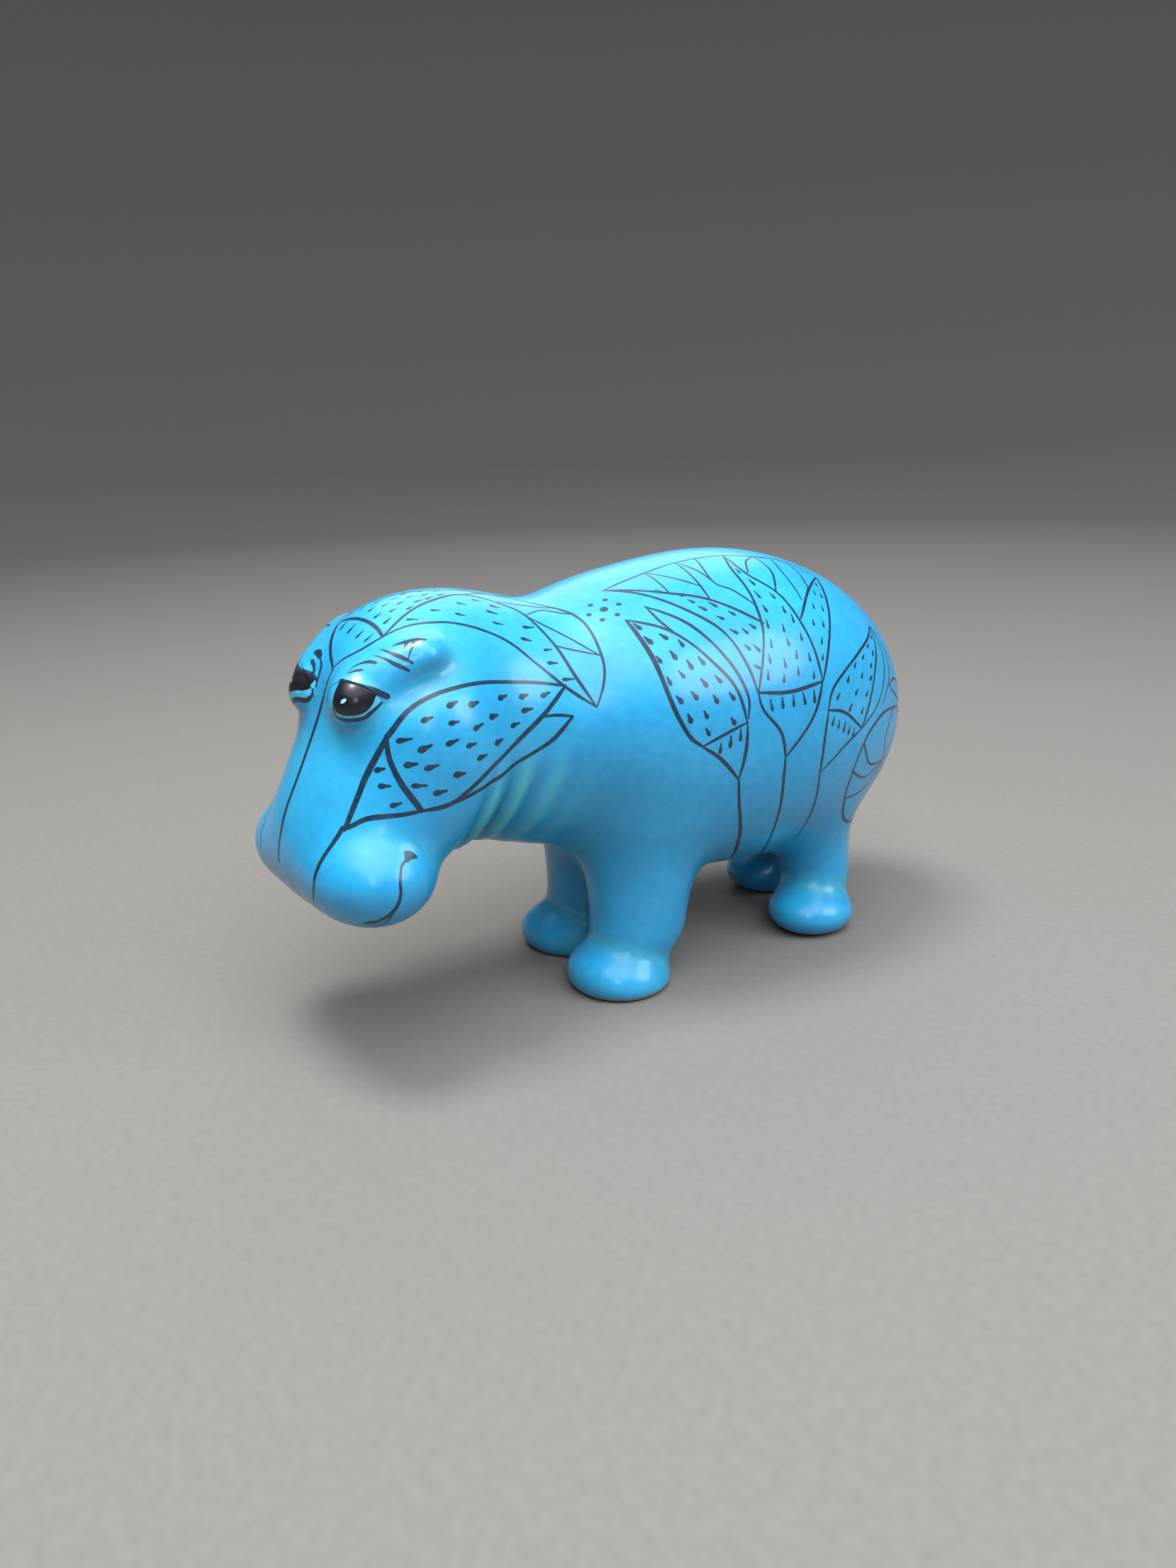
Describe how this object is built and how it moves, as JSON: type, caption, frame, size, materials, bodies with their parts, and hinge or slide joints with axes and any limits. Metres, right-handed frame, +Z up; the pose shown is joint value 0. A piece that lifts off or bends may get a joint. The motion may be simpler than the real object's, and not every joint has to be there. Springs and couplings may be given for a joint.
{
  "type": "hippopotamus figurine",
  "caption": "Standing hippopotamus figure in glazed ceramic, an ornament that rests on its own flat-soled feet.",
  "frame": {"origin": "bottom centre of the figure's box, on the plane of its soles", "axes": "+Z up, the figure faces -Y, and its left side is at +X"},
  "size_m": [0.0836, 0.2, 0.1172],
  "materials": {
    "turquoise_glaze": "gloss"
  },
  "bodies": {
    "root": {"hippo": "turquoise_glaze"}
  },
  "joints": []
}
